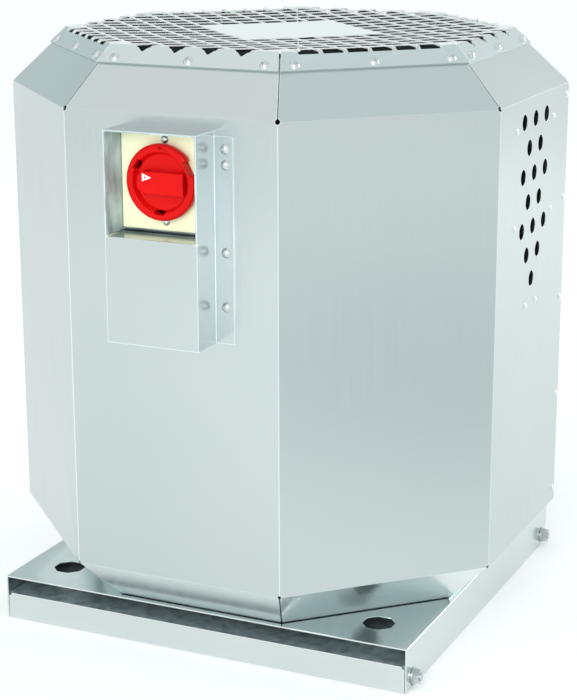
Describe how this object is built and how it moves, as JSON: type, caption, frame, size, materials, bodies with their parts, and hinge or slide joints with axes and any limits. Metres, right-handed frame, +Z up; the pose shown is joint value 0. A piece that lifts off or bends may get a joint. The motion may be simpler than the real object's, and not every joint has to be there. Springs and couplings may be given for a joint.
{
  "type": "roof extract fan",
  "caption": "Roof-mounted kitchen extract fan with an octagonal sheet casing, upward discharge guard, tilting base and rotary isolator switch.",
  "frame": {"origin": "centre of the duct collar's lower rim, in the plane that the base stands on", "axes": "+Z up along the impeller's axis, -Y towards the switch, +X towards the vented face"},
  "size_m": [0.5182, 0.5512, 0.586],
  "materials": {
    "casing_sheet": "smooth mill-finish sheet, soft reflections",
    "guard_sheet": "punched sheet, satin",
    "base_sheet": "galvanised sheet, dull",
    "frame_sheet": "galvanised sheet, satin",
    "inner_sheet": "galvanised sheet, dull",
    "rubber": "matt",
    "rivet_metal": "satin",
    "screw_metal": "bright",
    "bolt_metal": "zinc plated",
    "yellow_plastic": "fine satin",
    "red_plastic": "moulded gloss",
    "mark_white": "printed mark",
    "dark_plastic": "moulded",
    "motor_paint": "enamel",
    "shaft_steel": "ground",
    "core_steel": "laminated",
    "copper": "enamelled wire",
    "cable_black": "matt sheath",
    "hub_cast": "cast"
  },
  "bodies": {
    "curb_base": {"curb_frame": "frame_sheet", "curb_seal": "rubber", "air_seal": "rubber", "duct_collar": "inner_sheet", "collar_rivets": "rivet_metal", "pivot_studs": "bolt_metal", "lock_studs": "bolt_metal", "stud_washers": "bolt_metal", "stud_nuts": "bolt_metal"},
    "fan_unit": {"base_plate": "base_sheet", "inlet_nozzle": "inner_sheet", "nozzle_screws": "screw_metal", "casing_front": "casing_sheet", "casing_rear": "casing_sheet", "seam_rivets": "rivet_metal", "foot_rivets": "rivet_metal", "guard": "guard_sheet", "guard_screws": "screw_metal", "switch_hood": "casing_sheet", "hood_screws": "screw_metal", "switch_plate": "yellow_plastic", "switch_plate_screws": "screw_metal", "switch_body": "dark_plastic", "vent_duct": "inner_sheet", "vent_rivets": "rivet_metal", "support_legs": "bolt_metal", "leg_bolts": "bolt_metal", "rubber_dampers": "rubber", "leg_nuts": "bolt_metal", "motor_plate": "inner_sheet", "motor_frame": "motor_paint", "lower_end_shield": "motor_paint", "upper_end_shield": "motor_paint", "motor_bearings": "shaft_steel", "motor_bolts": "bolt_metal", "stator_core": "core_steel", "stator_windings": "copper", "fan_cowl": "dark_plastic", "terminal_box": "dark_plastic", "terminal_lid": "dark_plastic", "terminal_gland": "dark_plastic", "motor_cable": "cable_black", "cable_grommet": "rubber", "motor_housing": "inner_sheet", "housing_screws": "screw_metal", "housing_lid": "inner_sheet", "lid_spacers": "dark_plastic", "lid_screws": "screw_metal"},
    "rotor": {"motor_shaft": "shaft_steel", "rotor_core": "core_steel", "cooling_fan": "dark_plastic", "impeller_hub": "hub_cast", "impeller_back_plate": "inner_sheet", "impeller_blades": "inner_sheet", "impeller_shroud": "inner_sheet", "retaining_bolt": "bolt_metal"},
    "handle": {"switch_handle": "red_plastic", "pointer_mark": "mark_white", "switch_shaft": "shaft_steel"}
  },
  "joints": [
    {"name": "unit_tilt", "type": "hinge", "parent": "curb_base", "child": "fan_unit", "pos_m": [0, 0.2, 0.012], "axis": [-1, 0, 0], "range_deg": [0, 60]},
    {"name": "impeller_spin", "type": "hinge", "parent": "fan_unit", "child": "rotor", "pos_m": [0, 0, 0.3], "axis": [0, 0, 1], "continuous": true},
    {"name": "handle_turn", "type": "hinge", "parent": "fan_unit", "child": "handle", "pos_m": [0, -0.27, 0.4743], "axis": [0, 1, 0], "range_deg": [0, 90]}
  ]
}
